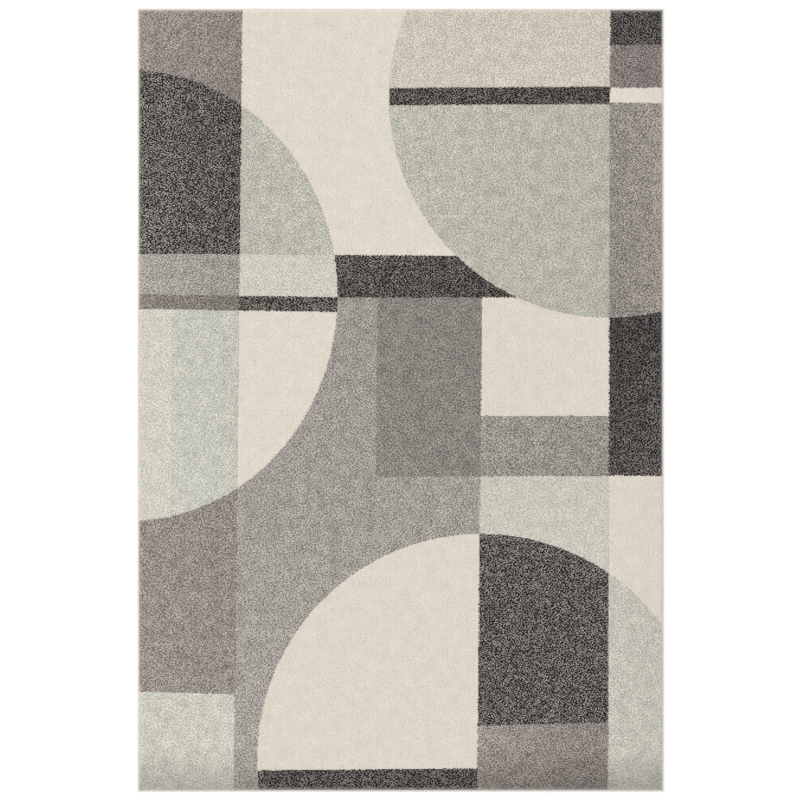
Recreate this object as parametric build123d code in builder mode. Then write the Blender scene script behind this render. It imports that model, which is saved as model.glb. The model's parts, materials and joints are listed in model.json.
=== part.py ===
"""Area rug: a machine-woven cut-pile rug, laid flat.

Millimetres. The rug lies on the plane z = 0 with its pile upwards. X runs across its width and Y along
its length, and the origin is the middle of the face that it rests on.

From the floor up it is a latex back coat, a woven ground, and one block of pile for each field of the
colour design. Edge yarn is wrapped over the ground's bare margin along both sides and both ends.
"""
from build123d import *
from collections import namedtuple
import os

# ---- The rug ----
rug_width = 2000.0
rug_length = 2975.0

# ---- Its layers ----
coat_thickness = 0.8
ground_thickness = 2.2
pile_height = 9.0

# ---- The wrapped edge ----
serging_width = 8.0  # from the rug's edge in to the pile
serging_height = 5.5  # above the floor
serging_cover = 2.0  # yarn outside the ground's cut edge
serging_rounding = 1.8  # on the edge's two outer corners

# ---- The colour design ----
# A woven design leans a little, so a line has one place at each of its two ends.
# Upright lines give their distance in from a side, first at the top end and then at the bottom end.
panel_from_left = (147.0, 120.0)
column_from_left = (399.0, 366.0)
tall_block_from_right = (1076.0, 1104.0)
middle_from_right = (679.0, 710.0)
column_from_right = (204.0, 213.0)

# Cross lines give their distance from an end, first at the left side and then at the right side.
corner_block_from_top = (139.0, 139.0)
stripe_top_from_top = (302.5, 302.5)
stripe_foot_from_top = (359.0, 359.0)
wide_bar_top_from_top = (307.5, 296.5)
wide_bar_foot_from_top = (373.0, 362.5)
dark_block_from_top = (932.0, 945.0)
thin_bar_top_from_top = (1086.5, 1114.5)
thin_bar_foot_from_top = (1141.5, 1173.0)
grey_ground_from_top = (1098.0, 1098.0)
cream_block_foot_from_top = (1548.0, 1548.0)
tall_block_foot_from_top = (1782.5, 1775.0)
sage_foot_from_bottom = (380.5, 325.5)
taupe_foot_from_bottom = (218.5, 267.5)
base_bar_from_bottom = (77.0, 94.5)

# Discs give their centre's distance from a side and from the top end. The left one is woven a little oval.
left_disc_from_left = -33.0
left_disc_from_top = 1090.5
left_disc_half_width = 794.0
left_disc_half_length = 857.0
right_disc_from_right = 207.0
right_disc_from_top = 338.5
right_disc_radius = 836.0
bottom_disc_from_right = 692.0
bottom_disc_from_top = 2849.0
bottom_disc_radius = 853.0

# ---- Places worked out from the sizes above ----
side = rug_width / 2
end = rug_length / 2
pile_floor = coat_thickness + ground_thickness
pile_width = rug_width - 2 * serging_width
pile_length = rug_length - 2 * serging_width
ground_width = rug_width - 2 * serging_cover
ground_length = rug_length - 2 * serging_cover

Upright = namedtuple("Upright", "top bottom")
Cross = namedtuple("Cross", "left right")
Disc = namedtuple("Disc", "centre half_width half_length")
Field = namedtuple("Field", "bands inside outside")


def from_left(distances):
    """An upright line set out from the left side."""
    return Upright(distances[0] - side, distances[1] - side)


def from_right(distances):
    """An upright line set out from the right side."""
    return Upright(side - distances[0], side - distances[1])


def from_top(distances):
    """A cross line set out from the top end."""
    return Cross(end - distances[0], end - distances[1])


def from_bottom(distances):
    """A cross line set out from the bottom end."""
    return Cross(distances[0] - end, distances[1] - end)


left_edge = from_left((serging_width, serging_width))
panel = from_left(panel_from_left)
column = from_left(column_from_left)
tall_block = from_right(tall_block_from_right)
middle = from_right(middle_from_right)
far_column = from_right(column_from_right)
right_edge = from_right((serging_width, serging_width))

top_edge = from_top((serging_width, serging_width))
corner_block = from_top(corner_block_from_top)
stripe_top = from_top(stripe_top_from_top)
stripe_foot = from_top(stripe_foot_from_top)
wide_bar_top = from_top(wide_bar_top_from_top)
wide_bar_foot = from_top(wide_bar_foot_from_top)
dark_block = from_top(dark_block_from_top)
thin_bar_top = from_top(thin_bar_top_from_top)
thin_bar_foot = from_top(thin_bar_foot_from_top)
grey_ground = from_top(grey_ground_from_top)
cream_block_foot = from_top(cream_block_foot_from_top)
tall_block_foot = from_top(tall_block_foot_from_top)
sage_foot = from_bottom(sage_foot_from_bottom)
taupe_foot = from_bottom(taupe_foot_from_bottom)
base_bar = from_bottom(base_bar_from_bottom)
bottom_edge = from_bottom((serging_width, serging_width))

left_centre = (left_disc_from_left - side, end - left_disc_from_top)
right_centre = (side - right_disc_from_right, end - right_disc_from_top)
bottom_centre = (side - bottom_disc_from_right, end - bottom_disc_from_top)
discs = {
    "left": Disc(left_centre, left_disc_half_width, left_disc_half_length),
    "right": Disc(right_centre, right_disc_radius, right_disc_radius),
    "bottom": Disc(bottom_centre, bottom_disc_radius, bottom_disc_radius),
}


def crossing(upright, cross):
    """The point where an upright line meets a cross line."""
    lean = (upright.top - upright.bottom) / rug_length
    slope = (cross.right - cross.left) / rug_width
    y = (cross.left + slope * (upright.bottom + lean * end + side)) / (1 - slope * lean)
    return (upright.bottom + lean * (y + end), y)


def band(left, right, low, high):
    """The four corners between two upright lines and two cross lines."""
    return [crossing(left, low), crossing(right, low), crossing(right, high), crossing(left, high)]


# Every field of pile: the bands that it fills, the disc that it is kept inside, and the discs that it
# stops at. Side by side they fill the whole rug.
fields = {
    # The left column, from the top down
    "pile_taupe_top_left": Field([band(left_edge, column, dark_block, top_edge)], None, ["left"]),
    "pile_charcoal_left_disc": Field([band(left_edge, column, dark_block, top_edge)], "left", []),
    "pile_light_grey_left_band": Field([band(left_edge, column, thin_bar_top, dark_block)], None, []),
    "pile_dark_taupe_left_bar": Field([band(left_edge, column, thin_bar_foot, thin_bar_top)], None, []),
    "pile_ivory_left_panel": Field([band(left_edge, panel, sage_foot, thin_bar_foot)], "left", []),
    "pile_pale_sage_left_panel": Field([band(panel, column, sage_foot, thin_bar_foot)], "left", []),
    "pile_taupe_lower_left": Field([band(left_edge, column, sage_foot, thin_bar_foot)], None, ["left"]),
    "pile_pale_sage_bottom_left": Field([band(left_edge, column, bottom_edge, sage_foot)], None, []),
    # The left disc, right of the column
    "pile_sage_left_disc": Field([band(column, far_column, dark_block, top_edge)], "left", []),
    "pile_ivory_left_disc": Field([band(column, far_column, thin_bar_top, dark_block)], "left", []),
    "pile_charcoal_thin_bar": Field([band(column, far_column, thin_bar_foot, thin_bar_top)], "left", []),
    "pile_cream_left_disc": Field([band(column, far_column, bottom_edge, thin_bar_foot)], "left", []),
    # The ground between the discs
    "pile_cream_top": Field([band(column, far_column, dark_block, top_edge)], None, ["left", "right"]),
    "pile_charcoal_block": Field(
        [band(column, far_column, grey_ground, dark_block)],
        None,
        ["left", "right"],
    ),
    "pile_light_grey_ground": Field(
        [
            band(column, tall_block, tall_block_foot, grey_ground),
            band(column, middle, bottom_edge, tall_block_foot),
        ],
        None,
        ["left", "right", "bottom"],
    ),
    "pile_mid_grey_tall_block": Field(
        [band(tall_block, middle, tall_block_foot, grey_ground)],
        None,
        ["left", "right"],
    ),
    "pile_cream_block": Field(
        [band(middle, far_column, cream_block_foot, grey_ground)],
        None,
        ["left", "right"],
    ),
    "pile_grey_step": Field([band(middle, far_column, tall_block_foot, cream_block_foot)], None, ["left"]),
    "pile_ivory_right_band": Field(
        [band(middle, far_column, taupe_foot, tall_block_foot)],
        None,
        ["left", "bottom"],
    ),
    # The right disc
    "pile_greige_right_disc": Field([band(column, far_column, wide_bar_top, top_edge)], "right", ["left"]),
    "pile_charcoal_wide_bar": Field(
        [band(column, far_column, wide_bar_foot, wide_bar_top)],
        "right",
        ["left"],
    ),
    "pile_sage_right_disc": Field(
        [band(column, far_column, cream_block_foot, wide_bar_foot)],
        "right",
        ["left"],
    ),
    # The bottom disc
    "pile_cream_bottom_disc": Field([band(column, middle, base_bar, tall_block_foot)], "bottom", ["left"]),
    "pile_charcoal_base_bar": Field([band(column, middle, bottom_edge, base_bar)], "bottom", ["left"]),
    "pile_charcoal_bottom_disc": Field(
        [band(middle, far_column, taupe_foot, tall_block_foot)],
        "bottom",
        ["left"],
    ),
    "pile_taupe_bottom_right": Field([band(middle, far_column, bottom_edge, taupe_foot)], None, ["left"]),
    # The right column, from the top down
    "pile_charcoal_top_right": Field([band(far_column, right_edge, corner_block, top_edge)], None, []),
    "pile_dark_taupe_top_right": Field([band(far_column, right_edge, stripe_top, corner_block)], None, []),
    "pile_cream_stripe": Field([band(far_column, right_edge, stripe_foot, stripe_top)], None, []),
    "pile_taupe_right_disc": Field(
        [band(far_column, right_edge, tall_block_foot, stripe_foot)],
        "right",
        [],
    ),
    "pile_charcoal_right": Field(
        [band(far_column, right_edge, tall_block_foot, stripe_foot)],
        None,
        ["right"],
    ),
    "pile_cream_right": Field(
        [band(far_column, right_edge, bottom_edge, tall_block_foot)],
        None,
        ["bottom"],
    ),
    "pile_pale_sage_bottom_right": Field(
        [band(far_column, right_edge, bottom_edge, tall_block_foot)],
        "bottom",
        [],
    ),
}


def draw_disc(name, mode):
    """Adds a disc to the open sketch, or cuts it out, as mode says."""
    disc = discs[name]
    with Locations(disc.centre):
        Ellipse(disc.half_width, disc.half_length, mode=mode)


def pile_field(field):
    """One block of pile, which stands on the ground and fills its own field of the design."""
    with BuildPart() as block:
        with BuildSketch(Plane.XY.offset(pile_floor)):
            for corners in field.bands:
                with BuildLine():
                    Polyline(*corners, close=True)
                make_face()
            if field.inside:
                draw_disc(field.inside, Mode.INTERSECT)
            for name in field.outside:
                draw_disc(name, Mode.SUBTRACT)
        extrude(amount=pile_height)
    return block


def flat_layer(width, length, floor, thickness):
    """A flat rectangular layer, centred on the rug."""
    with BuildPart() as layer:
        with BuildSketch(Plane.XY.offset(floor)):
            Rectangle(width, length)
        extrude(amount=thickness)
    return layer


def serging(plane, run):
    """The yarn wrapped over one margin: a round-shouldered bar along run, with the ground's edge in it.

    The plane lies across the bar, with its origin on the floor at the rug's edge and its x pointing in.
    """
    with BuildPart() as bar:
        with BuildSketch(plane):
            with BuildLine():
                Polyline(
                    (0, 0),
                    (serging_width, 0),
                    (serging_width, serging_height),
                    (0, serging_height),
                    close=True,
                )
            make_face()
            outer = vertices().filter_by(lambda corner: abs(plane.to_local_coords(corner).X) < 0.01)
            fillet(outer, radius=serging_rounding)
        extrude(amount=run)
        with BuildSketch(Plane.XY.offset(coat_thickness)):
            Rectangle(ground_width, ground_length)
        extrude(amount=ground_thickness, mode=Mode.SUBTRACT)
    return bar


os.makedirs("parts", exist_ok=True)

back_coat = flat_layer(pile_width, pile_length, 0, coat_thickness)
ground_weave = flat_layer(ground_width, ground_length, coat_thickness, ground_thickness)
pieces = {"back_coat": back_coat, "ground_weave": ground_weave}

# Each side's bar runs the full length, and each end's bar fits between them.
edges = {
    "left_side_serging": (Plane((-side, end, 0), x_dir=(1, 0, 0), z_dir=(0, -1, 0)), rug_length),
    "right_side_serging": (Plane((side, -end, 0), x_dir=(-1, 0, 0), z_dir=(0, 1, 0)), rug_length),
    "top_end_serging": (Plane((pile_width / 2, end, 0), x_dir=(0, -1, 0), z_dir=(-1, 0, 0)), pile_width),
    "bottom_end_serging": (Plane((-pile_width / 2, -end, 0), x_dir=(0, 1, 0), z_dir=(1, 0, 0)), pile_width),
}
for name, (plane, run) in edges.items():
    pieces[name] = serging(plane, run)
for name, field in fields.items():
    pieces[name] = pile_field(field)

for name, piece in pieces.items():
    piece.part.label = name
    export_step(piece.part, f"parts/{name}.step")
print(len(pieces), "pieces")
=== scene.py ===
"""Builds a large machine-woven rug around its measured frame: a cut pile laid tuft by tuft in 33 fields of
colour, a woven ground, a ribbed back and four edges wrapped with twisted yarn."""

import json
import math
from typing import NamedTuple

import bpy
import numpy as np
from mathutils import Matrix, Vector
from mathutils.bvhtree import BVHTree


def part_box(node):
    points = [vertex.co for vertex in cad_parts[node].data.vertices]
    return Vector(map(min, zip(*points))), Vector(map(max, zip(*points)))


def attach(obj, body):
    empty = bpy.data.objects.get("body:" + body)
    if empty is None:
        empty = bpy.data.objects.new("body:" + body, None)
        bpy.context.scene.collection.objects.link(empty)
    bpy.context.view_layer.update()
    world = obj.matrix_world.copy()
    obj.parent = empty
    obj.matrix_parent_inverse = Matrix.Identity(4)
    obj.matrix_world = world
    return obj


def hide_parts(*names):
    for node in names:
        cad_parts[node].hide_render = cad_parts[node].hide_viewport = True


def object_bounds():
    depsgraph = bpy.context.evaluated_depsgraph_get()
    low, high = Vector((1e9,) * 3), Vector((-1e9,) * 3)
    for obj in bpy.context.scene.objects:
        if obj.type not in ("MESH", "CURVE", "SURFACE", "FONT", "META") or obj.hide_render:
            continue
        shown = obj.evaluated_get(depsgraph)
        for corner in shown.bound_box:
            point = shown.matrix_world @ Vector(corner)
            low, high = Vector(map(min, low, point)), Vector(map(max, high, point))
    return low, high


bl_info = {
    "name": "Colour-Block Rug",
    "version": (1, 0, 0),
    "blender": (4, 5, 0),
    "location": "3D Viewport > Sidebar > Rug",
    "description": "Lays a cut-pile rug with a geometric pattern, tuft by tuft, on a studio floor",
    "category": "Add Mesh",
}

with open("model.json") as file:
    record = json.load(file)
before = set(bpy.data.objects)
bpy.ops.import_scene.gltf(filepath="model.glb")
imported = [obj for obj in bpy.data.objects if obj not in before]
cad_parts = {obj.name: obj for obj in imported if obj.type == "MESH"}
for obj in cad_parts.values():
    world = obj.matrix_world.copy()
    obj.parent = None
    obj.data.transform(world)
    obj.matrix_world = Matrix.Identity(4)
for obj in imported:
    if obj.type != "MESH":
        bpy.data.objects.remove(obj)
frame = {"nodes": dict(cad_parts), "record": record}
FRAME_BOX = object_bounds()

SLOTS = {row["node"]: row["material_slot"] for row in frame["record"]["subparts"]}
FIELDS = sorted(name for name in SLOTS if name.startswith("pile_"))
SERGINGS = sorted(name for name in SLOTS if name.endswith("_serging"))
GROUND = "ground_weave"
BACK = "back_coat"
BODY = "root"
PIECE_NAMES = {GROUND: "woven_ground", BACK: "ribbed_back"}
BAKE_MAP = "OFBake"

# a tuft's shade is its level on a display raised to this power
DISPLAY_CURVE = 2.2
DARKEST_TUFT = 0.05
LIGHTEST_TUFT = 3.8
# what brings an even draw up to a spread near one
EVEN_SPREAD = 3.3
# how far a tuft's place is random, as a share of the step from one tuft to the next
TUFT_WANDER = 0.6
# how far in from the rug's edges, in metres, the foot is darker, with painted shade, and the outermost
# tufts paler, with pale ground between them and painted light on the bowed shoulder
FOOT_REACH = 0.15
SIDE_REACH = 0.006
END_REACH = 0.01
BORDER_PALE_AND_PAINTED_LIGHT = 0.22

# seed and tries for the wandering edges between the fields
WANDER_SEED = 7
CORNER_TRIES = 60
# two places nearer than this, in metres, are the same
TOUCH = 1e-5
# steps in the weight of the shoulder
SHOULDER_STEPS = 20
# sizes in a piece's flat map, which is one unit wide, and the width of its skirt in metres
MAP_MARGIN = 0.02
SKIRT = 0.0025
YARN_MAP_MARGIN = 0.04

# a turn of yarn before it is sized: the ring's and the yarn's radius and sides
RING_RADIUS = 0.76
YARN_RADIUS = 0.24
RING_SIDES = 8
YARN_SIDES = 5
LARGEST_BUNCH = 40
# the knots in the corners: how far in from the end, their share of the edge's section and of its map
KNOT_INSET = 0.0012
KNOT_FILL = 0.9
KNOT_MAP = 0.02

# faces that meet at less than this are shaded as one surface
FIELD_SMOOTH = math.radians(75)
SLAB_SMOOTH = math.radians(60)
# faces across and along the ground, and across the back
GROUND_GRID = (110, 160)
BACK_COLUMNS = 12
# width and depth, in metres, of the ground's thick and thin places
SLUB_WIDTH = 0.02
SLUB_DEPTH = 0.0003
# in metres: the floor's width, how far it lies under the rug, and how far the camera sees
FLOOR_WIDTH = 60
FLOOR_GAP = 0.0003
FAR_CLIP = 200
SENSOR_MM = 36.0
# where the key light shines from, and how wide it looks from the rug
KEY_PLACE = (-3.4, 4.2, 5.4)
KEY_WIDTH = math.radians(40)

FIELD_BOXES = [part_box(name) for name in FIELDS]
PILE_LOW = Vector([min(box[0][axis] for box in FIELD_BOXES) for axis in range(3)])
PILE_HIGH = Vector([max(box[1][axis] for box in FIELD_BOXES) for axis in range(3)])


# ---------------------------------------------------------------- settings


def number_setting(name, description, default, low, high, **kind):
    """A number. Its kind is a unit or a subtype, if it has one."""
    return bpy.props.FloatProperty(
        name=name, description=description, default=default, min=low, max=high, **kind
    )


def length_setting(name, description, default, low, high):
    """A length, in metres."""
    return number_setting(name, description, default, low, high, unit="LENGTH")


def colour_setting(name, description, red, green, blue):
    """A colour property, given as display values from 0 to 255."""
    display = [channel / 255 for channel in (red, green, blue)]
    return bpy.props.FloatVectorProperty(
        name=name, description=description, default=display, min=0.0, max=1.0, size=3, subtype="COLOR_GAMMA"
    )


class RugPileSettings(bpy.types.PropertyGroup):
    """Sizes of the tufts."""

    tuft_width: length_setting(
        "Tuft width", "Distance from one tuft to the next across the rug", 0.0045, 0.003, 0.02
    )
    tuft_length: length_setting(
        "Tuft length", "Distance from one row of tufts to the next along the rug", 0.0034, 0.003, 0.02
    )
    crown: length_setting(
        "Crown", "How far a tuft's tip stands above the dip between tufts", 0.0009, 0.0, 0.004
    )
    uneven_tips: length_setting("Uneven tips", "How much the tips differ in height", 0.0015, 0.0, 0.004)
    drift: length_setting("Drift", "How far tufts lean out of their rows", 0.0026, 0.0, 0.006)
    ragged_edge: number_setting(
        "Ragged colour edge", "How far the edge between two colours wanders, as a share of a tuft",
        0.42, 0.0, 0.5, subtype="FACTOR",
    )
    shoulder_drop: length_setting(
        "Shoulder drop", "How far the outermost tufts bow down over the wrapped edge", 0.0024, 0.0, 0.006
    )
    shoulder_lean: length_setting(
        "Shoulder lean", "How far the outermost tufts lean out over the wrapped edge", 0.0012, 0.0, 0.004
    )
    shoulder_width: length_setting(
        "Shoulder width", "Width of the band of tufts that bow down along the edge", 0.009, 0.002, 0.03
    )


class RugEdgeSettings(bpy.types.PropertyGroup):
    """Sizes of the wrapped edges, the woven ground and the back."""

    wrap_pitch: length_setting(
        "Wrap pitch", "Distance from one turn of the edge yarn to the next", 0.003, 0.001, 0.02
    )
    wrap_overlap: number_setting(
        "Wrap overlap", "Width of a turn of yarn, as a share of the pitch", 1.12, 1.0, 1.5
    )
    wrap_slant: number_setting(
        "Wrap slant", "How far a turn leans along the edge",
        math.radians(9), 0.0, math.radians(45), subtype="ANGLE",
    )
    rib_pitch: length_setting("Rib pitch", "Distance between the weft ribs on the back", 0.005, 0.002, 0.02)
    rib_depth: length_setting(
        "Rib depth", "Depth of the grooves between the ribs on the back", 0.0005, 0.0, 0.0007
    )


class RugColourSettings(bpy.types.PropertyGroup):
    """The yarns, as they look from a distance."""

    cream_pile: colour_setting("Cream", "Plain cream pile yarn", 221, 213, 200)
    ivory_pile: colour_setting("Ivory", "Cream yarn flecked with sage", 205, 201, 189)
    greige_pile: colour_setting("Greige", "Cream and taupe yarns mixed", 204, 196, 183)
    pale_sage_pile: colour_setting("Pale sage", "Pale grey-green heather", 197, 196, 184)
    sage_pile: colour_setting("Sage", "Grey-green heather", 187, 185, 172)
    light_grey_pile: colour_setting("Light grey", "Light warm grey heather", 163, 157, 150)
    taupe_pile: colour_setting("Taupe", "Taupe heather", 149, 142, 136)
    mid_grey_pile: colour_setting("Mid grey", "Mid grey heather", 138, 132, 126)
    dark_taupe_pile: colour_setting("Dark taupe", "Dark taupe heather", 132, 125, 118)
    charcoal_pile: colour_setting("Charcoal", "Near-black and grey yarns mixed", 84, 80, 77)
    edge_yarn: colour_setting("Edge yarn", "Twisted yarn wrapped over the edges", 243, 237, 229)
    ground_cloth: colour_setting("Ground cloth", "Undyed cloth under the pile", 176, 158, 128)
    back_coat: colour_setting("Back coat", "Coated weft ribs underneath", 214, 204, 184)
    floor: colour_setting("Floor", "Studio floor", 251, 251, 251)


class RugStageSettings(bpy.types.PropertyGroup):
    """Camera and light."""

    view_width: length_setting(
        "View width", "Width that the camera takes in at the height of the pile", 3.0378, 0.5, 20.0
    )
    lens: number_setting("Lens", "Focal length of the camera", 100.0, 20.0, 300.0, unit="CAMERA")
    aim_aside: length_setting(
        "Aim aside", "How far the camera stands to the right of the rug's middle", -0.0025, -2.0, 2.0
    )
    dome_strength: number_setting(
        "Dome strength", "Light that comes evenly from all around", 0.86, 0.0, 5.0
    )
    key_strength: number_setting(
        "Key strength", "Wide soft light that comes from beyond the rug's top left corner", 0.95, 0.0, 5.0
    )


# ---------------------------------------------------------------- yarns


class Heather(NamedTuple):
    """How one yarn's tufts differ: the spread of their shade, the slow mottle, the spread of their warmth,
    and how much a light tuft tends to stand among dark ones."""

    contrast: float
    mottle: float
    warmth: float
    apart: float

    def mean_shade(self):
        """The mean shade of the tufts, which their spread lifts above one."""
        chance = np.linspace(-3, 3, 601)
        weight = np.exp(-(chance**2) / 2)
        spread = self.contrast * EVEN_SPREAD * math.sqrt((1 + 4 * self.apart**2) / 12)
        level = np.clip(1 + spread * chance, DARKEST_TUFT, LIGHTEST_TUFT)
        return float((level**DISPLAY_CURVE * weight).sum() / weight.sum())


HEATHERS = {
    "cream_pile": Heather(0.012, 0.035, 0.01, 0.05),
    "ivory_pile": Heather(0.085, 0.06, 0.015, 0.12),
    "greige_pile": Heather(0.11, 0.075, 0.02, 0.14),
    "pale_sage_pile": Heather(0.105, 0.10, 0.02, 0.14),
    "sage_pile": Heather(0.13, 0.105, 0.02, 0.14),
    "light_grey_pile": Heather(0.215, 0.13, 0.02, 0.16),
    "taupe_pile": Heather(0.245, 0.14, 0.03, 0.13),
    "mid_grey_pile": Heather(0.225, 0.14, 0.02, 0.15),
    "dark_taupe_pile": Heather(0.275, 0.14, 0.03, 0.14),
    "charcoal_pile": Heather(2.1, 0.2, 0.01, 0.3),
}


class Cast(NamedTuple):
    """How one field differs from its yarn's usual shade: a tint for each channel, the change in shade for
    each metre to the right and towards the head, and how far painted shade darkens it at the foot of the
    rug."""

    tint: tuple = (1.0, 1.0, 1.0)
    lean: tuple = (0.0, 0.0)
    # painted shade at the foot of the rug
    foot: float = 0.0


CASTS = {
    "pile_taupe_top_left": Cast((0.95, 0.91, 0.92), (-0.35, 0.25)),
    "pile_charcoal_left_disc": Cast((1.28, 1.28, 1.28), (-0.75, -0.1)),
    "pile_light_grey_left_band": Cast((0.99, 1.0, 0.98), (-0.35, 0.0)),
    "pile_dark_taupe_left_bar": Cast((1.0, 1.01, 0.97), (-0.6, 0.0)),
    "pile_ivory_left_panel": Cast((1.04, 1.04, 1.04)),
    "pile_pale_sage_left_panel": Cast((1.0, 1.0, 1.01), (-0.22, -0.05)),
    "pile_taupe_lower_left": Cast((1.0, 0.985, 0.985), (-0.2, -0.08)),
    "pile_pale_sage_bottom_left": Cast((1.06, 1.05, 1.05), (0.1, 0.0), 0.34),
    "pile_sage_left_disc": Cast((1.0, 1.0, 1.01), (0.1, 0.05)),
    "pile_charcoal_thin_bar": Cast((1.16, 1.16, 1.12)),
    "pile_charcoal_block": Cast((0.94, 0.93, 0.92), (-0.3, 1.2)),
    "pile_light_grey_ground": Cast((0.98, 0.98, 0.98), (0.0, -0.09), 0.3),
    "pile_mid_grey_tall_block": Cast((0.97, 0.97, 0.97), (-0.15, -0.07)),
    "pile_cream_bottom_disc": Cast((0.975, 0.98, 0.98)),
    "pile_charcoal_base_bar": Cast((0.92, 0.9, 0.9)),
    "pile_greige_right_disc": Cast((0.98, 0.98, 0.99), (0.0, -0.08)),
    "pile_charcoal_wide_bar": Cast((0.91, 0.87, 0.87), (-0.2, 0.0)),
    "pile_sage_right_disc": Cast((0.955, 0.955, 0.95), (-0.12, 0.03)),
    "pile_charcoal_top_right": Cast((0.83, 0.8, 0.82), (-0.9, 0.0)),
    "pile_dark_taupe_top_right": Cast((0.97, 0.92, 0.98), (-0.4, 0.0)),
    "pile_taupe_right_disc": Cast((0.98, 0.98, 0.98), (0.45, 0.1)),
    "pile_cream_block": Cast((0.97, 0.97, 0.97)),
    "pile_cream_right": Cast((0.95, 0.95, 0.95), (-0.1, 0.0)),
    "pile_grey_step": Cast((1.03, 1.05, 1.04), (-0.15, 0.2)),
    "pile_charcoal_right": Cast((0.78, 0.76, 0.79), (0.9, -0.8)),
    "pile_ivory_right_band": Cast((0.95, 0.95, 0.95), (0.0, -0.1)),
    "pile_charcoal_bottom_disc": Cast((1.21, 1.22, 1.22)),
    "pile_pale_sage_bottom_right": Cast((0.96, 0.93, 0.94), (-0.25, 0.0), 0.38),
    "pile_taupe_bottom_right": Cast((0.95, 0.93, 0.92), (-0.5, 0.0), 0.4),
}


def to_linear(display):
    """Display colour, 0 to 1, as light."""
    return [c / 12.92 if c <= 0.04045 else ((c + 0.055) / 1.055) ** 2.4 for c in display]


# ---------------------------------------------------------------- shading

SOCKET_KINDS = {1: "NodeSocketFloat", 3: "NodeSocketVector", 4: "NodeSocketColor"}
GREY = (0.5, 0.5, 0.5, 1)
FINISH = {"Colour": GREY, "Roughness": 0.8, "Height": 0.0}

# the outline of a tuft: how fine its fuzz is, in 1/m, and how far it reaches, as a share of a tuft
FUZZ_SCALE = 900.0
FUZZ_REACH = 0.7
# the mottle: its scale in 1/m, and what brings its noise up to a spread near one
CLOUD_SCALE = 22.0
CLOUD_SPREAD = 4.0
# light on a tuft's tip, and how much of it is gone one tuft away
TIP_LIGHT = 1.22
GAP_LOSS = 0.9
# fibres in a tuft: their size in metres, and their share in its shade and in its relief
FIBRE_SIZE = 0.0006
FIBRE_SHADE = 0.4
FIBRE_RELIEF = 0.35
ROUGH_PILE = 0.86
ROUGH_SWING = 0.16
# sheen of the pile, lower on charcoal, where it shows as haze
PILE_SHEEN = 0.12
CHARCOAL_SHEEN = 0.05
YARN_SHEEN = 0.15
GROUND_SHEEN = 0.05
# relief in metres of the pile, and of yarn and cloth
PILE_BUMP = 0.0012
FINE_BUMP = 0.0003


class Net:
    """A shader tree that nodes are added to, each at a column and row of the editor's grid."""

    def __init__(self, tree):
        self.tree = tree

    def node(self, kind, column, row, feeds=(), **settings):
        """A node. Each of its feeds, by the input's name or number, is a value or another node's output."""
        made = self.tree.nodes.new(kind)
        made.location = (column * 190, -row * 170)
        for name, value in settings.items():
            setattr(made, name, value)
        for name, value in dict(feeds).items():
            if isinstance(value, bpy.types.NodeSocket):
                self.tree.links.new(value, made.inputs[name])
            else:
                made.inputs[name].default_value = value
        return made

    def math(self, operation, column, row, *operands, clamped=False):
        """The output of a Math node."""
        settings = {"operation": operation, "use_clamp": clamped}
        return self.node("ShaderNodeMath", column, row, enumerate(operands), **settings).outputs[0]

    def vector(self, operation, column, row, *operands):
        """The output of a Vector Math node."""
        feeds = enumerate(operands)
        made = self.node("ShaderNodeVectorMath", column, row, feeds, operation=operation)
        return made.outputs["Value" if operation == "DOT_PRODUCT" else "Vector"]

    def shaded(self, column, row, colour, shade):
        """A colour multiplied by a shade."""
        feeds = {0: colour, "Scale": shade}
        made = self.node("ShaderNodeVectorMath", column, row, feeds, operation="SCALE")
        return made.outputs["Vector"]

    def fibres(self, column, row, size, vector):
        """Fine fibres of a size, read at a place."""
        group = bpy.data.node_groups.get("Fine fibres") or fibre_group()
        feeds = {"Size": size, "Vector": vector}
        return self.node("ShaderNodeGroup", column, row, feeds, node_tree=group).outputs[0]

    def draw(self, column, row, **spot):
        """A random draw for each whole number, given as W, or for each pair of them, given as Vector."""
        width = "1D" if "W" in spot else "2D"
        return self.node("ShaderNodeTexWhiteNoise", column, row, spot, noise_dimensions=width)


def new_group(name, inputs, outputs):
    """An empty shader node group, and what it is given. Inputs and outputs are names with defaults: a
    number, a vector of three or a colour of four."""
    group = bpy.data.node_groups.new(name, "ShaderNodeTree")
    net = Net(group)
    for side, values in (("INPUT", inputs), ("OUTPUT", outputs)):
        for label, default in values.items():
            kind = SOCKET_KINDS[np.size(default)]
            socket = group.interface.new_socket(name=label, in_out=side, socket_type=kind)
            socket.default_value = default
    return net, net.node("NodeGroupInput", 0, 0).outputs


def fibre_group():
    """Fine fibres: a value around 0 that changes every fraction of a millimetre."""
    net, given = new_group("Fine fibres", {"Vector": (0, 0, 0), "Size": 0.0005}, {"Value": 0.0})
    fineness = net.math("DIVIDE", 1, 0, 1.0, given["Size"])
    feeds = {"Detail": 1.0, "Vector": given["Vector"], "Scale": fineness}
    noise = net.node("ShaderNodeTexNoise", 2, 0, feeds, noise_dimensions="3D")
    around = net.math("SUBTRACT", 3, 0, noise.outputs[0], 0.5)
    net.node("NodeGroupOutput", 4, 0, {"Value": around})
    return net.tree


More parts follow.
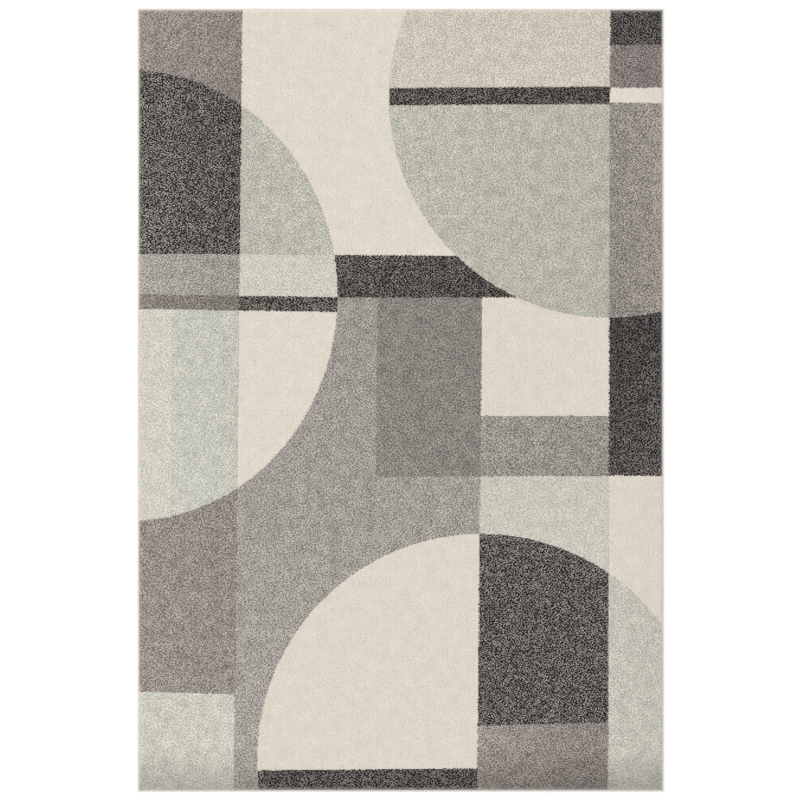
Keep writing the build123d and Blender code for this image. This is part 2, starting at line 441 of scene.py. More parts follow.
def pile_group(step_x, step_y):
    """Cut pile: one shade to each tuft, fine fibres in it, and a soft mottle over many tufts."""
    net, given = new_group(
        "Cut pile",
        {
            "Yarn": GREY,
            "Contrast": 0.2,
            "Mottle": 0.03,
            "Warmth": 0.02,
            "Apart": 0.15,
            "Lean": (0, 0, 0),
            "Middle": (0, 0, 0),
            # painted shade at the foot of the rug
            "Painted foot shade": 0.0,
            # the colour mixed into the outermost tufts: pale ground, and painted light on the shoulder
            "Border": (0.8, 0.8, 0.8, 1),
        },
        FINISH,
    )
    place = net.node("ShaderNodeTexCoord", 0, 2).outputs["Object"]

    # one cell to each tuft, with a fuzzy outline
    margin = (1 - TUFT_WANDER) / 2
    origin = (-PILE_LOW.x / step_x - margin, -PILE_LOW.y / step_y - margin, 0)
    feeds = {"Scale": (1 / step_x, 1 / step_y, 1), "Location": origin, "Vector": place}
    lattice = net.node("ShaderNodeMapping", 1, 2, feeds, vector_type="POINT")
    feeds = {"Scale": FUZZ_SCALE, "Detail": 1.0, "Vector": place}
    fuzz = net.node("ShaderNodeTexNoise", 1, 3, feeds, noise_dimensions="3D")
    fuzz_around = net.vector("SUBTRACT", 2, 3, fuzz.outputs["Color"], (0.5, 0.5, 0.5))
    fuzz_small = net.vector("MULTIPLY", 3, 3, fuzz_around, (FUZZ_REACH,) * 3)
    fuzzy = net.vector("ADD", 4, 2, lattice.outputs[0], fuzz_small)
    feeds = {"Scale": 1.0, "Randomness": TUFT_WANDER, "Vector": fuzzy}
    cells = net.node("ShaderNodeTexVoronoi", 5, 2, feeds, voronoi_dimensions="2D", feature="F1")
    number = net.vector("FLOOR", 6, 2, cells.outputs["Position"])

    # shade of the tuft: a light one tends to stand among darker ones, as two yarns that come up in turn
    own = net.draw(7, 2, Vector=number)
    total = None
    for step, away in enumerate(((1, 0, 0), (-1, 0, 0), (0, 1, 0), (0, -1, 0))):
        beside = net.vector("ADD", 7, 10 + step, number, away)
        value = net.draw(8, 10 + step, Vector=beside).outputs["Value"]
        total = value if total is None else net.math("ADD", 9, 10 + step, total, value)
    total_around = net.math("SUBTRACT", 8, 2, total, 2.0)
    pushed = net.math("MULTIPLY", 9, 2, total_around, given["Apart"])
    own_around = net.math("SUBTRACT", 9, 3, own.outputs["Value"], 0.5)
    even = net.math("SUBTRACT", 10, 2, own_around, pushed)
    swing_unit = net.math("MULTIPLY", 10, 3, even, EVEN_SPREAD)
    swing = net.math("MULTIPLY", 11, 3, swing_unit, given["Contrast"])
    level = net.math("ADD", 12, 2, swing, 1.0)
    lifted = net.math("MAXIMUM", 13, 2, level, DARKEST_TUFT)
    lit = net.math("MINIMUM", 13, 3, lifted, LIGHTEST_TUFT)
    tuft_shade = net.math("POWER", 14, 2, lit, DISPLAY_CURVE)

    # mottle over the width of a hand
    feeds = {"Scale": CLOUD_SCALE, "Detail": 2.0, "Vector": place}
    cloud = net.node("ShaderNodeTexNoise", 5, 4, feeds, noise_dimensions="2D")
    cloud_around = net.math("SUBTRACT", 6, 4, cloud.outputs[0], 0.5)
    cloud_wide = net.math("MULTIPLY", 7, 4, cloud_around, CLOUD_SPREAD)
    cloud_swing = net.math("MULTIPLY", 8, 4, cloud_wide, given["Mottle"])
    cloudy = net.math("ADD", 9, 4, cloud_swing, 1.0)

    # slow change of shade across the field
    from_middle = net.vector("SUBTRACT", 5, 5, place, given["Middle"])
    slope = net.vector("DOT_PRODUCT", 6, 5, from_middle, given["Lean"])
    sloped = net.math("ADD", 7, 5, slope, 1.0)

    # a darker foot, which is painted shade, and paler outermost tufts: pale ground showing between them,
    # and painted light on the bowed shoulder
    spot = net.node("ShaderNodeSeparateXYZ", 2, 14, {0: place})
    from_foot = net.math("SUBTRACT", 3, 15, spot.outputs["Y"], PILE_LOW.y)
    foot_share = net.math("DIVIDE", 4, 15, from_foot, FOOT_REACH)
    foot_near = net.math("SUBTRACT", 5, 15, 1.0, foot_share, clamped=True)
    foot_swing = net.math("MULTIPLY", 6, 15, foot_near, given["Painted foot shade"])
    painted_foot_shade = net.math("SUBTRACT", 7, 15, 1.0, foot_swing)
    nearness = []
    for row, axis, half, reach in ((16, "X", PILE_HIGH.x, SIDE_REACH), (17, "Y", PILE_HIGH.y, END_REACH)):
        away = net.math("ABSOLUTE", 3, row, spot.outputs[axis])
        share = net.math("DIVIDE", 4, row, away, reach)
        nearness.append(net.math("SUBTRACT", 5, row, share, half / reach - 1, clamped=True))
    border = net.math("MAXIMUM", 6, 16, *nearness)
    # pale ground and painted light mixed into the outermost tufts
    pale_ground_and_light_mix = net.math("MULTIPLY", 7, 16, border, BORDER_PALE_AND_PAINTED_LIGHT)

    # less light between the tufts
    from_tip = net.math("POWER", 6, 7, cells.outputs["Distance"], 2.0)
    gap_shade = net.math("MULTIPLY_ADD", 7, 6, from_tip, -GAP_LOSS, TIP_LIGHT)

    fine = net.fibres(5, 6, FIBRE_SIZE, place)
    fine_swing = net.math("MULTIPLY", 6, 6, fine, FIBRE_SHADE)
    fine_shade = net.math("ADD", 7, 6, fine_swing, 1.0)

    shade = tuft_shade
    for step, factor in enumerate((cloudy, sloped, painted_foot_shade, gap_shade, fine_shade)):
        shade = net.math("MULTIPLY", 15, 2 + step, shade, factor)

    # warmer and cooler tufts
    draw = net.node("ShaderNodeSeparateColor", 8, 3, {0: own.outputs["Color"]})
    warm_around = net.math("SUBTRACT", 7, 3, draw.outputs["Green"], 0.5)
    warm_swing = net.math("MULTIPLY", 8, 3, warm_around, given["Warmth"])
    warmer = net.math("ADD", 9, 3, warm_swing, 1.0)
    cooler = net.math("SUBTRACT", 10, 3, 1.0, warm_swing)
    feeds = {"Red": warmer, "Green": 1.0, "Blue": cooler}
    tint = net.node("ShaderNodeCombineColor", 11, 3, feeds)
    tinted = net.vector("MULTIPLY", 12, 5, given["Yarn"], tint.outputs[0])
    # the outermost tufts paler: pale ground, and painted light on the shoulder
    feeds = {"Factor": pale_ground_and_light_mix, "A": net.shaded(16, 5, tinted, shade), "B": given["Border"]}
    pale = net.node("ShaderNodeMix", 17, 5, feeds, data_type="RGBA")

    rough_around = net.math("SUBTRACT", 7, 7, draw.outputs["Blue"], 0.5)
    rough_swing = net.math("MULTIPLY", 8, 7, rough_around, ROUGH_SWING)
    rough = net.math("ADD", 9, 7, rough_swing, ROUGH_PILE)

    dome = net.math("MULTIPLY", 7, 8, from_tip, -1.0)
    fine_height = net.math("MULTIPLY", 7, 9, fine, FIBRE_RELIEF)
    height = net.math("ADD", 8, 8, dome, fine_height)
    finish = {"Colour": pale.outputs["Result"], "Roughness": rough, "Height": height}
    net.node("NodeGroupOutput", 18, 0, finish)
    return net.tree


def yarn_group():
    """Twisted yarn, laid along the group's X: slanting plies, one shade to each turn, and fine fibres."""
    inputs = {"Vector": (0, 0, 0), "Yarn": GREY, "Turn": 0.003}
    net, given = new_group("Twisted yarn", inputs, FINISH)
    feeds = {"Scale": 260.0, "Distortion": 0.6, "Detail": 1.0, "Vector": given["Vector"]}
    bands = {"wave_type": "BANDS", "bands_direction": "DIAGONAL"}
    plies = net.node("ShaderNodeTexWave", 2, 0, feeds, **bands).outputs["Fac"]
    parts = net.node("ShaderNodeSeparateXYZ", 2, 2, {0: given["Vector"]})
    turn = net.math("DIVIDE", 3, 2, parts.outputs["Y"], given["Turn"])
    number = net.math("FLOOR", 4, 2, turn)
    draw = net.draw(5, 2, W=number).outputs["Value"]
    fine = net.fibres(3, 4, 0.0004, given["Vector"])
    turn_shade = net.math("MULTIPLY_ADD", 6, 2, draw, 0.1, 0.95)
    fine_shade = net.math("MULTIPLY_ADD", 6, 4, fine, 0.3, 1.0)
    # painted shade: darker in the grooves between the slanting plies
    painted_ply_shade = net.math("MULTIPLY_ADD", 6, 0, plies, 0.12, 0.9)
    two = net.math("MULTIPLY", 8, 1, turn_shade, painted_ply_shade)
    shade = net.math("MULTIPLY", 9, 2, two, fine_shade)
    rough = net.math("MULTIPLY_ADD", 8, 4, fine, 0.3, 0.78)
    fine_height = net.math("MULTIPLY", 8, 5, fine, 0.4)
    height = net.math("ADD", 9, 5, fine_height, plies)
    colour = net.shaded(10, 1, given["Yarn"], shade)
    net.node("NodeGroupOutput", 12, 0, {"Colour": colour, "Roughness": rough, "Height": height})
    return net.tree


def weave_group():
    """Plain weave: warp and weft that pass over each other in turn."""
    inputs = {"Vector": (0, 0, 0), "Yarn": GREY, "Pitch": 0.005}
    net, given = new_group("Plain weave", inputs, FINISH)
    parts = net.node("ShaderNodeSeparateXYZ", 1, 1, {0: given["Vector"]})
    turns = net.math("DIVIDE", 2, 2, math.pi, given["Pitch"])
    across = net.math("MULTIPLY", 3, 0, parts.outputs["X"], turns)
    along = net.math("MULTIPLY", 3, 1, parts.outputs["Y"], turns)
    warp = net.math("SINE", 4, 0, across)
    weft = net.math("SINE", 4, 1, along)
    over = net.math("MULTIPLY", 5, 0, warp, weft)
    top = net.math("ABSOLUTE", 6, 0, over)
    fine = net.fibres(3, 4, 0.0008, given["Vector"])
    fine_shade = net.math("MULTIPLY_ADD", 6, 3, fine, 0.35, 1.0)
    # painted shade: darker in the dips between the yarns, lighter on their crests
    painted_weave_shade = net.math("MULTIPLY_ADD", 7, 0, top, 0.3, 0.78)
    shade = net.math("MULTIPLY", 8, 1, painted_weave_shade, fine_shade)
    rough = net.math("MULTIPLY_ADD", 8, 3, top, -0.12, 0.9)
    fine_height = net.math("MULTIPLY", 8, 4, fine, 0.3)
    height = net.math("ADD", 9, 4, fine_height, top)
    colour = net.shaded(9, 1, given["Yarn"], shade)
    net.node("NodeGroupOutput", 11, 0, {"Colour": colour, "Roughness": rough, "Height": height})
    return net.tree


def new_material(name, group, sheen, bump, feeds, turn=0):
    """A material whose colour, roughness and relief come from a group. A group that reads a place is
    given the place on the rug, turned about the vertical."""
    material = bpy.data.materials.new(name)
    material.use_nodes = True
    net = Net(material.node_tree)
    net.tree.nodes.clear()
    effect = net.node("ShaderNodeGroup", 1, 0, node_tree=group)
    if "Vector" in effect.inputs:
        place = net.node("ShaderNodeTexCoord", -1, 0).outputs["Object"]
        turned = net.node("ShaderNodeMapping", 0, 0, {"Rotation": (0, 0, turn), "Vector": place})
        net.tree.links.new(turned.outputs[0], effect.inputs["Vector"])
    for label, value in feeds.items():
        effect.inputs[label].default_value = value
    height = effect.outputs["Height"]
    relief = net.node("ShaderNodeBump", 2, 1, {"Distance": bump, "Height": height})
    surface = {
        "Base Color": effect.outputs["Colour"],
        "Roughness": effect.outputs["Roughness"],
        "Normal": relief.outputs["Normal"],
        "Sheen Weight": sheen,
        "Sheen Roughness": 0.5,
        "Specular IOR Level": 0.25,
    }
    shader = net.node("ShaderNodeBsdfPrincipled", 3, 0, surface)
    net.node("ShaderNodeOutputMaterial", 5, 0, {0: shader.outputs[0]})
    return material


def pile_material(field, group, colours):
    """The pile of one field: its yarn's heather, with the field's own cast."""
    slot = SLOTS[field]
    heather = HEATHERS[slot]
    cast = CASTS.get(field, Cast())
    mean = heather.mean_shade()
    yarn = [c * t / mean for c, t in zip(to_linear(getattr(colours, slot)), cast.tint)]
    low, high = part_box(field)
    feeds = {
        "Yarn": (*yarn, 1),
        "Contrast": heather.contrast,
        "Mottle": heather.mottle,
        "Warmth": heather.warmth,
        "Apart": heather.apart,
        "Lean": (*cast.lean, 0),
        "Middle": (low + high) / 2,
        "Painted foot shade": cast.foot,
        "Border": (*to_linear(colours.edge_yarn), 1),
    }
    sheen = CHARCOAL_SHEEN if slot == "charcoal_pile" else PILE_SHEEN
    return new_material(field, group, sheen, PILE_BUMP, feeds)


def cloth_material(name, sheen, colour, pitch):
    """Plain weave of one colour."""
    group = bpy.data.node_groups.get("Plain weave") or weave_group()
    feeds = {"Yarn": (*to_linear(colour), 1), "Pitch": pitch}
    return new_material(name, group, sheen, FINE_BUMP, feeds)


# ---------------------------------------------------------------- modelling


def deselect_all():
    """Leaves nothing selected, so that an operator acts only on what is picked after it."""
    bpy.ops.object.select_all(action="DESELECT")


def select_only(piece):
    """Makes one object the selected and active one."""
    deselect_all()
    piece.select_set(True)
    bpy.context.view_layer.objects.active = piece


def numbers(items, name, kind, width=1):
    """A mesh attribute read into an array."""
    values = np.empty(len(items) * width, kind)
    items.foreach_get(name, values)
    return values.reshape(-1, width) if width > 1 else values


def apply_place():
    """Takes the active object's place, turn and size into its mesh."""
    bpy.ops.object.transform_apply(location=True, rotation=True, scale=True)


def enter_edit(mode):
    """Opens the active mesh for editing with nothing selected."""
    bpy.ops.object.mode_set(mode="EDIT")
    bpy.ops.mesh.select_mode(type=mode)
    bpy.ops.mesh.select_all(action="DESELECT")


def pick(piece, faces=None, vertices=None):
    """Selects faces or vertices of the piece that is open for editing."""
    bpy.ops.object.mode_set(mode="OBJECT")
    if faces is not None:
        piece.data.polygons.foreach_set("select", faces)
    if vertices is not None:
        piece.data.vertices.foreach_set("select", vertices)
    bpy.ops.object.mode_set(mode="EDIT")


def apply_modifiers(piece):
    """Applies every modifier of the piece, from the top down."""
    select_only(piece)
    for modifier in list(piece.modifiers):
        bpy.ops.object.modifier_apply(modifier=modifier.name)


def displace(piece, name, texture, direction, strength, group="", middle=0.5):
    """Adds a Displace modifier that reads its texture by place in the rug."""
    modifier = piece.modifiers.new(name, "DISPLACE")
    modifier.texture = texture
    modifier.texture_coords = "GLOBAL"
    modifier.direction = direction
    modifier.strength = strength
    modifier.mid_level = middle
    modifier.vertex_group = group
    return modifier


def cloud_texture(name, size, depth):
    """A soft noise for Displace modifiers."""
    texture = bpy.data.textures.new(name, "CLOUDS")
    texture.noise_scale = size
    texture.noise_depth = depth
    texture.noise_basis = "ORIGINAL_PERLIN"
    return texture


def piece_name(node):
    """The name of the piece that stands for a node of the frame."""
    if node in PIECE_NAMES:
        return PIECE_NAMES[node]
    return node.replace("pile_", "tufts_").replace("serging", "wraps")


def stand_for(piece, node):
    """The piece joins the rug's body in the node's place, and the node is hidden."""
    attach(piece, BODY)
    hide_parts(node)


def flat_grid(name, columns, rows, middle, size_x, size_y):
    """A flat grid of faces around a middle."""
    deselect_all()
    bpy.ops.mesh.primitive_grid_add(
        x_subdivisions=columns, y_subdivisions=rows, size=1, calc_uvs=False, location=middle
    )
    piece = bpy.context.object
    piece.name = name
    piece.scale = (size_x, size_y, 1)
    apply_place()
    return piece


def close_sheet(height):
    """Makes the active open sheet a closed slab: walls of a height from its boundary, and the far side."""
    enter_edit("EDGE")
    bpy.ops.mesh.select_non_manifold(
        extend=False, use_wire=False, use_boundary=True, use_multi_face=False,
        use_non_contiguous=False, use_verts=False,
    )
    bpy.ops.mesh.extrude_region_move(TRANSFORM_OT_translate={"value": (0, 0, height)})
    bpy.ops.mesh.fill_holes(sides=0)
    bpy.ops.mesh.select_all(action="SELECT")
    bpy.ops.mesh.normals_make_consistent(inside=False)
    bpy.ops.object.mode_set(mode="OBJECT")


def weigh(piece, name, levels):
    """A vertex group in which each vertex weighs its level, in steps of the shoulder."""
    group = piece.vertex_groups.new(name=name)
    for step in np.unique(levels[levels > 0]):
        group.add(np.flatnonzero(levels == step).tolist(), step / SHOULDER_STEPS, "REPLACE")


class Layout:
    """The rug's grid of tufts, and the field that each tuft belongs to."""

    def __init__(self, tuft_width, tuft_length, ragged):
        size = PILE_HIGH - PILE_LOW
        self.columns = round(size.x / tuft_width)
        self.rows = round(size.y / tuft_length)
        self.step_x = size.x / self.columns
        self.step_y = size.y / self.rows
        self.owner = self.sort_tufts(ragged)
        self.join_corners()

    def sort_tufts(self, ragged):
        """Looks straight down at each tuft for the field under it."""
        vertices, faces, owners = [], [], []
        for index, field in enumerate(FIELDS):
            mesh = frame["nodes"][field].data
            start = len(vertices)
            vertices += [v.co.copy() for v in mesh.vertices]
            for face in mesh.polygons:
                if face.normal.z > 0.5:
                    faces.append([start + v for v in face.vertices])
                    owners.append(index)
        tree = BVHTree.FromPolygons(vertices, faces)
        chance = np.random.default_rng(WANDER_SEED)
        wander = chance.uniform(-ragged, ragged, (self.rows, self.columns, 2))
        above = PILE_HIGH.z + 1
        owner = np.zeros((self.rows, self.columns), np.int32)
        for row in range(self.rows):
            for column in range(self.columns):
                aside, ahead = wander[row, column]
                x = PILE_LOW.x + (column + 0.5 + aside) * self.step_x
                y = PILE_LOW.y + (row + 0.5 + ahead) * self.step_y
                spot = Vector((x, y, above))
                face = tree.ray_cast(spot, Vector((0, 0, -1)))[2]
                if face is None:
                    face = tree.find_nearest(spot)[2]
                owner[row, column] = owners[face]
        return owner

    def join_corners(self):
        """Gives away one tuft wherever two of a field touch only at their corners."""
        owner = self.owner
        for _ in range(CORNER_TRIES):
            low_left, low_right = owner[:-1, :-1], owner[:-1, 1:]
            high_left, high_right = owner[1:, :-1], owner[1:, 1:]
            rising = (low_left == high_right) & (low_right != low_left) & (high_left != low_left)
            low_right[rising] = low_left[rising]
            falling = (low_right == high_left) & (low_left != low_right) & (high_right != low_right)
            low_left[falling] = low_right[falling]
            if not rising.any() and not falling.any():
                return
        raise RuntimeError("the edges between the fields don't settle")


def shoulder_weights(place, width):
    """How much each vertex belongs to the shoulder at each side of the rug, 0 to 1."""
    x, y = place[:, 0], place[:, 1]
    away = np.stack([x - PILE_LOW.x, PILE_HIGH.x - x, y - PILE_LOW.y, PILE_HIGH.y - y])
    return np.clip(1 - away / width, 0, 1) ** 2


def lay_field(field, layout, pile, textures):
    """One field of pile: its tufts, its side walls and its flat underside."""
    index = FIELDS.index(field)
    rows, columns = np.where(layout.owner == index)
    if len(rows) == 0:
        raise RuntimeError(f"no tuft belongs to {field}")
    first_row, last_row = rows.min(), rows.max() + 1
    first_column, last_column = columns.min(), columns.max() + 1
    wide, long = last_column - first_column, last_row - first_row
    dip = PILE_HIGH.z - pile.crown
    low_x = PILE_LOW.x + first_column * layout.step_x
    low_y = PILE_LOW.y + first_row * layout.step_y
    size_x, size_y = wide * layout.step_x, long * layout.step_y

    middle = (low_x + size_x / 2, low_y + size_y / 2, dip)
    piece = flat_grid(piece_name(field), int(wide), int(long), middle, size_x, size_y)

    centre = numbers(piece.data.polygons, "center", np.float32, 3)
    row = ((centre[:, 1] - PILE_LOW.y) / layout.step_y).astype(int)
    column = ((centre[:, 0] - PILE_LOW.x) / layout.step_x).astype(int)
    enter_edit("FACE")
    pick(piece, faces=layout.owner[row, column] != index)
    bpy.ops.mesh.delete(type="FACE")

    # a tip to each tuft
    bpy.ops.mesh.select_all(action="SELECT")
    bpy.ops.mesh.poke(offset=pile.crown, use_relative_offset=False, center_mode="MEDIAN")

    # side walls, down to the ground, and the underside
    close_sheet(PILE_LOW.z - dip)

    lay_map(piece)
    shape_top(piece, dip, pile, textures)
    bpy.ops.object.shade_smooth_by_angle(angle=FIELD_SMOOTH)
    return piece


def lay_map(piece):
    """The piece's flat map: its top fills the square, each side wall is a narrow skirt round it, and the
    underside is out of the way in a corner."""
    mesh = piece.data
    place = numbers(mesh.vertices, "co", np.float32, 3)
    normal = numbers(mesh.polygons, "normal", np.float32, 3)
    start = numbers(mesh.polygons, "loop_start", np.int32)
    total = numbers(mesh.polygons, "loop_total", np.int32)
    corner = numbers(mesh.loops, "vertex_index", np.int32)
    face = np.repeat(np.arange(len(start)), total)
    wall = np.abs(normal[:, 2]) < 0.3
    under = normal[:, 2] < -0.9

    outward = np.zeros((len(place), 2))
    on_wall = wall[face]
    np.add.at(outward, corner[on_wall], normal[face[on_wall], :2])
    length = np.linalg.norm(outward, axis=1, keepdims=True)
    outward /= np.maximum(length, 1e-9)

    low, high = place[:, :2].min(0), place[:, :2].max(0)
    flat = place[corner, :2].astype(float)
    foot = on_wall & (place[corner, 2] < PILE_LOW.z + TOUCH)
    flat[foot] += outward[corner[foot]] * SKIRT
    spread = (flat - low) / (high - low) * (1 - 3 * MAP_MARGIN) + 2 * MAP_MARGIN
    spread[under[face]] = (flat[under[face]] - low) / (high - low) * MAP_MARGIN * 0.5
    layer = mesh.uv_layers.new(name=BAKE_MAP)
    layer.uv.foreach_set("vector", spread.astype(np.float32).ravel())


def shape_top(piece, dip, pile, textures):
    """Uneven tips, tufts that lean out of their rows, and a shoulder along the rug's edge."""
    mesh = piece.data
    place = numbers(mesh.vertices, "co", np.float32, 3)
    upper = place[:, 2] > dip - TOUCH
    tip = place[:, 2] > dip + pile.crown / 2
    for name, chosen in (("surface", upper), ("tips", tip)):
        group = piece.vertex_groups.new(name=name)
        group.add(np.flatnonzero(chosen).tolist(), 1.0, "REPLACE")

    shoulder = shoulder_weights(place, pile.shoulder_width)
    levels = np.round(shoulder * SHOULDER_STEPS).astype(int)
    levels[:, ~upper] = 0
    if levels.any():
        weigh(piece, "shoulder", levels.max(0))
        displace(piece, "Shoulder", None, "Z", -pile.shoulder_drop, "shoulder", 0.0)
    for side, name in enumerate(("left", "right", "foot", "head")):
        if levels[side].any():
            weigh(piece, name, levels[side])
            outward = pile.shoulder_lean * (-1 if name in ("left", "foot") else 1)
            displace(piece, f"Lean {name}", None, "X" if side < 2 else "Y", outward, name, 0.0)
    displace(piece, "Drift across", textures["across"], "X", pile.drift, "surface")
    displace(piece, "Drift along", textures["along"], "Y", pile.drift, "surface")
    displace(piece, "Uneven tips", textures["tips"], "Z", pile.uneven_tips, "tips")
    apply_modifiers(piece)
    piece.vertex_groups.clear()


def wrap_edge(node, edge, material):
    """One edge wrapped with yarn: a turn of yarn, squared to the edge's section, repeated along it."""
    low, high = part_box(node)
    size, middle = high - low, (low + high) / 2
    run = 1 if size.y > size.x else 0
    length = size[run]
    across = size[1 - run]
    pitch = length / round(length / edge.wrap_pitch)
    # the end wraps run a turn into the side wraps, which close over the corners
    tucked = 0 if run == 1 else 1
    turns = round(length / pitch) + 2 * tucked
    bunch = max(n for n in range(1, LARGEST_BUNCH + 1) if turns % n == 0)

    deselect_all()
    half_side = math.pi / RING_SIDES
    bpy.ops.mesh.primitive_torus_add(
        major_segments=RING_SIDES, minor_segments=YARN_SIDES, major_radius=RING_RADIUS,
        minor_radius=YARN_RADIUS, rotation=(0, 0, half_side), generate_uvs=True,
    )
    piece = bpy.context.object
    piece.name = piece_name(node)
    apply_place()
    outer = RING_RADIUS * math.cos(half_side) + YARN_RADIUS
    enter_edit("VERT")
    bpy.ops.mesh.select_all(action="SELECT")
    bpy.ops.transform.resize(
        value=(across / 2 / outer, size.z / 2 / outer, pitch * edge.wrap_overlap / 2 / YARN_RADIUS),
        center_override=(0, 0, 0),
    )
    bpy.ops.object.mode_set(mode="OBJECT")
    # the turn's axis, Z as it is made, is laid along the edge
    piece.rotation_euler = (math.pi / 2, 0, 0) if run == 1 else (math.pi / 2, 0, math.pi / 2)
    apply_place()
    piece.rotation_euler = (0, 0, edge.wrap_slant)
    start = middle.copy()
    start[run] = low[run] + pitch * (0.5 - tucked)
    piece.location = start
    apply_place()

    layer = piece.data.uv_layers[0]
    layer.name = BAKE_MAP
    bunches = turns // bunch
    flat = numbers(layer.uv, "vector", np.float32, 2)
    band = (1 - KNOT_MAP) / bunches
    flat = (YARN_MAP_MARGIN + (1 - 2 * YARN_MAP_MARGIN) * flat) * (1 / bunch, band)
    layer.uv.foreach_set("vector", flat.astype(np.float32).ravel())
    for name, count, gap, across_map, up_map in (
        ("Turns", bunch, pitch, 1 / bunch, 0.0),
        ("Bunches", bunches, pitch * bunch, 0.0, band),
    ):
        array = piece.modifiers.new(name, "ARRAY")
        array.use_relative_offset = False
        array.use_constant_offset = True
        array.constant_offset_displace = [gap if axis == run else 0 for axis in range(3)]
        array.count = count
        array.offset_u = across_map
        array.offset_v = up_map
    apply_modifiers(piece)
    if run == 1:
        finish_corners(piece, low, high, pitch)
    bpy.ops.object.shade_smooth()
    piece.data.materials.append(material)
    stand_for(piece, node)
    return piece


def finish_corners(piece, low, high, pitch):
    """A knot of yarn in the last turn at both ends of a side's wrapping, to close it over the corner."""
    size, middle = high - low, (low + high) / 2
    knots = []
    for number, end in enumerate((low.y + KNOT_INSET, high.y - KNOT_INSET)):
        deselect_all()
        bpy.ops.mesh.primitive_uv_sphere_add(
            segments=12, ring_count=8, radius=0.5,
            location=(middle.x, end, middle.z),
            scale=(size.x * KNOT_FILL, pitch, size.z * KNOT_FILL),
        )
        knot = bpy.context.object
        apply_place()
        layer = knot.data.uv_layers[0]
        layer.name = BAKE_MAP
        flat = numbers(layer.uv, "vector", np.float32, 2)
        flat = flat * (0.4, 0.9 * KNOT_MAP) + (0.05 + 0.5 * number, 1 - 0.95 * KNOT_MAP)
        layer.uv.foreach_set("vector", flat.astype(np.float32).ravel())
        knots.append(knot)
    deselect_all()
    for part in (piece, *knots):
        part.select_set(True)
    bpy.context.view_layer.objects.active = piece
    bpy.ops.object.join()


def gridded_slab(name, low, high, columns, rows, over):
    """A closed slab, whose upper face is the grid of faces if over is true, and else its lower one."""
    size, middle = high - low, (low + high) / 2
    middle.z = high.z if over else low.z
    piece = flat_grid(name, columns, rows, middle, size.x, size.y)
    close_sheet(-size.z if over else size.z)
    return piece


# ---------------------------------------------------------------- operators


class RUG_OT_tuft_pile(bpy.types.Operator):
    """Lay the 33 fields of cut pile, tuft by tuft"""

    bl_idname = "rug.tuft_pile"
    bl_label = "Tuft the Pile"
    bl_options = {"REGISTER", "UNDO"}

    def execute(self, context):
        scene = context.scene
        pile = scene.rug_pile
        layout = Layout(pile.tuft_width, pile.tuft_length, pile.ragged_edge)
        group = pile_group(layout.step_x, layout.step_y)
        textures = {
            "across": cloud_texture("Drift across", 0.0031, 0),
            "along": cloud_texture("Drift along", 0.0034, 1),
            "tips": cloud_texture("Uneven tips", 0.0029, 0),
        }
        for field in FIELDS:
            piece = lay_field(field, layout, pile, textures)
            piece.data.materials.append(pile_material(field, group, scene.rug_colours))
            stand_for(piece, field)
        return {"FINISHED"}


class RUG_OT_wrap_edges(bpy.types.Operator):
    """Wrap the rug's two sides and two ends with twisted yarn"""

    bl_idname = "rug.wrap_edges"
    bl_label = "Wrap the Edges"
    bl_options = {"REGISTER", "UNDO"}

    def execute(self, context):
        scene = context.scene
        group = yarn_group()
        feeds = {
            "Yarn": (*to_linear(scene.rug_colours.edge_yarn), 1),
            "Turn": scene.rug_edges.wrap_pitch,
        }
        for node in SERGINGS:
            low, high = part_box(node)
            turn = 0 if high.y - low.y > high.x - low.x else math.pi / 2
            material = new_material(f"{node} yarn", group, YARN_SHEEN, FINE_BUMP, feeds, turn)
            wrap_edge(node, scene.rug_edges, material)
        return {"FINISHED"}


class RUG_OT_coat_back(bpy.types.Operator):
    """Make the coated, ribbed back that the rug rests on"""

    bl_idname = "rug.coat_back"
    bl_label = "Coat the Back"
    bl_options = {"REGISTER", "UNDO"}

    def execute(self, context):
        scene = context.scene
        edge = scene.rug_edges
        low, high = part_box(BACK)
        rows = 2 * round((high.y - low.y) / edge.rib_pitch)
        piece = gridded_slab(piece_name(BACK), low, high, BACK_COLUMNS, rows, False)
        bpy.ops.object.shade_smooth_by_angle(angle=SLAB_SMOOTH)
        place = numbers(piece.data.vertices, "co", np.float32, 3)
        row = np.round((place[:, 1] - low.y) / (high.y - low.y) * rows).astype(int)
        groove = (row % 2 == 1) & (place[:, 2] < low.z + TOUCH)
        enter_edit("VERT")
        pick(piece, vertices=groove)
        bpy.ops.transform.translate(value=(0, 0, edge.rib_depth))
        bpy.ops.object.mode_set(mode="OBJECT")
        coat = cloth_material("Coated back", 0.0, scene.rug_colours.back_coat, edge.rib_pitch)
        piece.data.materials.append(coat)
        stand_for(piece, BACK)
        return {"FINISHED"}


class RUG_OT_weave_ground(bpy.types.Operator):
    bl_idname = "rug.weave_ground"
    bl_label = "Weave the Ground"
    bl_options = {"REGISTER", "UNDO"}

    def execute(self, context):
        scene = context.scene
        low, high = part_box(GROUND)
        size, middle = high - low, (low + high) / 2
        piece = gridded_slab(piece_name(GROUND), low, high, *GROUND_GRID, True)
        away = np.abs(numbers(piece.data.vertices, "co", np.float32, 3) - np.array(middle))
        inner = (away[:, 0] < size.x / 2 - TOUCH) & (away[:, 1] < size.y / 2 - TOUCH)
        relief = piece.vertex_groups.new(name="relief")
        relief.add(np.flatnonzero(inner).tolist(), 1.0, "REPLACE")
        slubs = cloud_texture("Slubs", SLUB_WIDTH, 1)
        displace(piece, "Slubs", slubs, "Z", -SLUB_DEPTH, "relief", 0.0)
        apply_modifiers(piece)
        piece.vertex_groups.clear()
        bpy.ops.object.shade_smooth_by_angle(angle=SLAB_SMOOTH)
        pitch = scene.rug_pile.tuft_width
        cloth = cloth_material("Ground cloth", GROUND_SHEEN, scene.rug_colours.ground_cloth, pitch)
        piece.data.materials.append(cloth)
        stand_for(piece, GROUND)
        return {"FINISHED"}


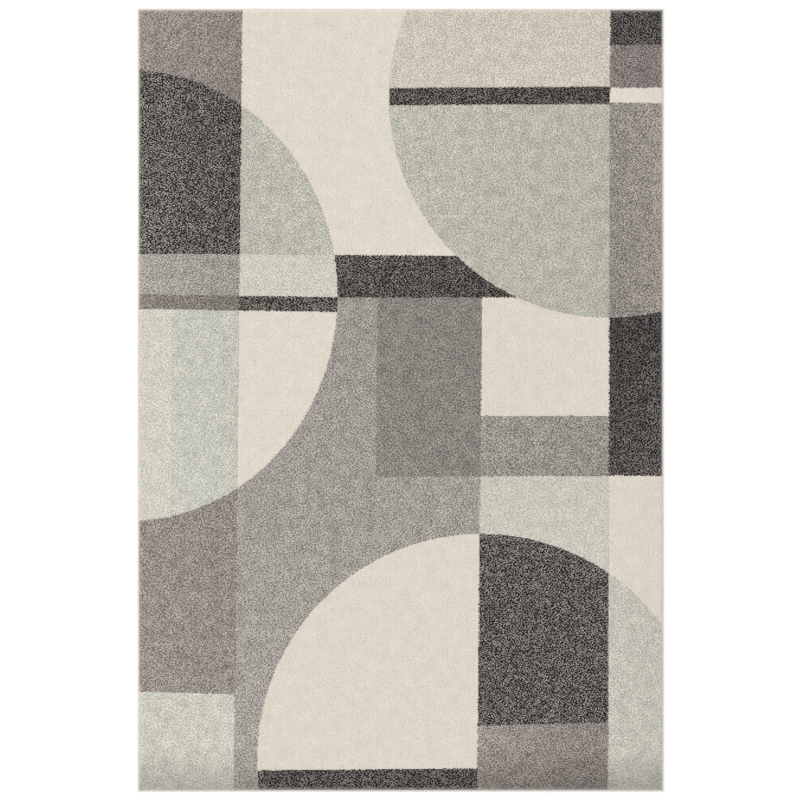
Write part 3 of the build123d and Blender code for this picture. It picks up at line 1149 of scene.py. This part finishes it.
class RUG_OT_set_stage(bpy.types.Operator):
    """Set the pale floor, the soft studio light and the camera overhead"""

    bl_idname = "rug.set_stage"
    bl_label = "Set the Stage"
    bl_options = {"REGISTER", "UNDO"}

    def execute(self, context):
        scene = context.scene
        stage = scene.rug_stage
        scene.view_settings.view_transform = "Standard"
        deselect_all()
        height = FRAME_BOX[0].z - FLOOR_GAP
        bpy.ops.mesh.primitive_plane_add(size=FLOOR_WIDTH, location=(0, 0, height))
        floor = bpy.context.object
        floor.name = "studio_floor"
        apply_place()
        paint = bpy.data.materials.new("Studio floor")
        paint.use_nodes = True
        shader = paint.node_tree.nodes["Principled BSDF"]
        shader.inputs["Base Color"].default_value = (*to_linear(scene.rug_colours.floor), 1)
        shader.inputs["Roughness"].default_value = 0.9
        floor.data.materials.append(paint)

        world = bpy.data.worlds.new("Studio dome")
        world.use_nodes = True
        background = world.node_tree.nodes["Background"]
        background.inputs["Color"].default_value = (1, 1, 1, 1)
        background.inputs["Strength"].default_value = stage.dome_strength
        scene.world = world

        bpy.ops.object.light_add(type="SUN", location=KEY_PLACE)
        key = bpy.context.object
        key.name = "key_light"
        key.data.angle = KEY_WIDTH
        key.data.energy = stage.key_strength
        aim = -key.location
        key.rotation_euler = aim.to_track_quat("-Z", "Y").to_euler()

        distance = stage.view_width * stage.lens / SENSOR_MM
        bpy.ops.object.camera_add(
            location=(stage.aim_aside, 0, FRAME_BOX[1].z + distance), rotation=(0, 0, 0)
        )
        camera = bpy.context.object
        camera.name = "overhead_camera"
        camera.data.lens = stage.lens
        camera.data.sensor_width = SENSOR_MM
        camera.data.clip_end = FAR_CLIP
        scene.camera = camera
        return {"FINISHED"}


OPERATORS = (
    RUG_OT_coat_back,
    RUG_OT_wrap_edges,
    RUG_OT_tuft_pile,
    RUG_OT_weave_ground,
    RUG_OT_set_stage,
)


class RUG_PT_sidebar(bpy.types.Panel):
    """The rug's settings and building steps"""

    bl_label = "Colour-Block Rug"
    bl_idname = "RUG_PT_sidebar"
    bl_space_type = "VIEW_3D"
    bl_region_type = "UI"
    bl_category = "Rug"

    def draw(self, context):
        layout = self.layout
        for settings in SETTINGS:
            box = layout.box()
            box.label(text=settings)
            values = getattr(context.scene, settings)
            for name in values.__annotations__:
                box.prop(values, name)
        for operator in OPERATORS:
            layout.operator(operator.bl_idname)


SETTINGS = {
    "rug_pile": RugPileSettings,
    "rug_edges": RugEdgeSettings,
    "rug_colours": RugColourSettings,
    "rug_stage": RugStageSettings,
}
CLASSES = (*SETTINGS.values(), *OPERATORS, RUG_PT_sidebar)


def register():
    for item in CLASSES:
        bpy.utils.register_class(item)
    for name, group in SETTINGS.items():
        setattr(bpy.types.Scene, name, bpy.props.PointerProperty(type=group))


def unregister():
    for name in SETTINGS:
        delattr(bpy.types.Scene, name)
    for item in reversed(CLASSES):
        bpy.utils.unregister_class(item)


def main():
    """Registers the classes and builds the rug."""
    register()
    bpy.ops.rug.coat_back()
    bpy.ops.rug.wrap_edges()
    bpy.ops.rug.tuft_pile()
    bpy.ops.rug.weave_ground()
    bpy.ops.rug.set_stage()
    bpy.context.view_layer.update()


if __name__ == "__main__":
    main()
